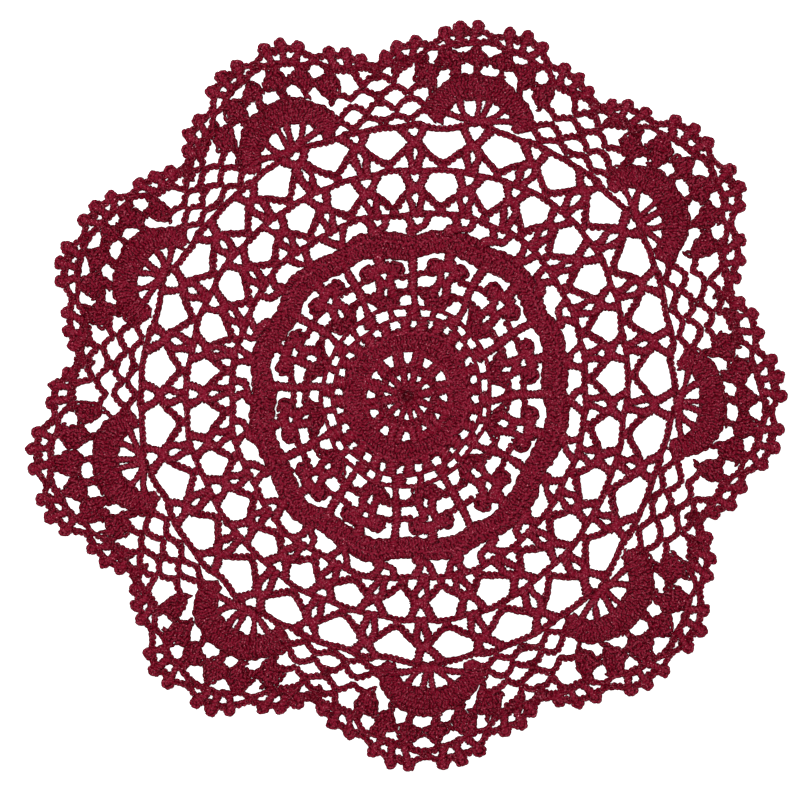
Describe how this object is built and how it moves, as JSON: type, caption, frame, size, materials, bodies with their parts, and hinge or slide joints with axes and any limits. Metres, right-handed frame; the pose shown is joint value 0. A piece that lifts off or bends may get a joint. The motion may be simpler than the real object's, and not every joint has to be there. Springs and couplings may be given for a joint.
{
  "type": "lace doily",
  "caption": "Round crocheted lace doily with a scalloped edge of fans, a close centre and a ring of open net, laid flat.",
  "frame": {"origin": "centre of the bounding box, on the underside", "axes": "+Z out of the right side of the work, +Y towards the valley between the first and the last fan, +X to its right"},
  "size_m": [0.2288, 0.2258, 0.0024],
  "materials": {
    "cotton": "matt mercerised crochet cotton with a soft sheen"
  },
  "bodies": {
    "root": {"doily": "cotton"}
  },
  "joints": []
}
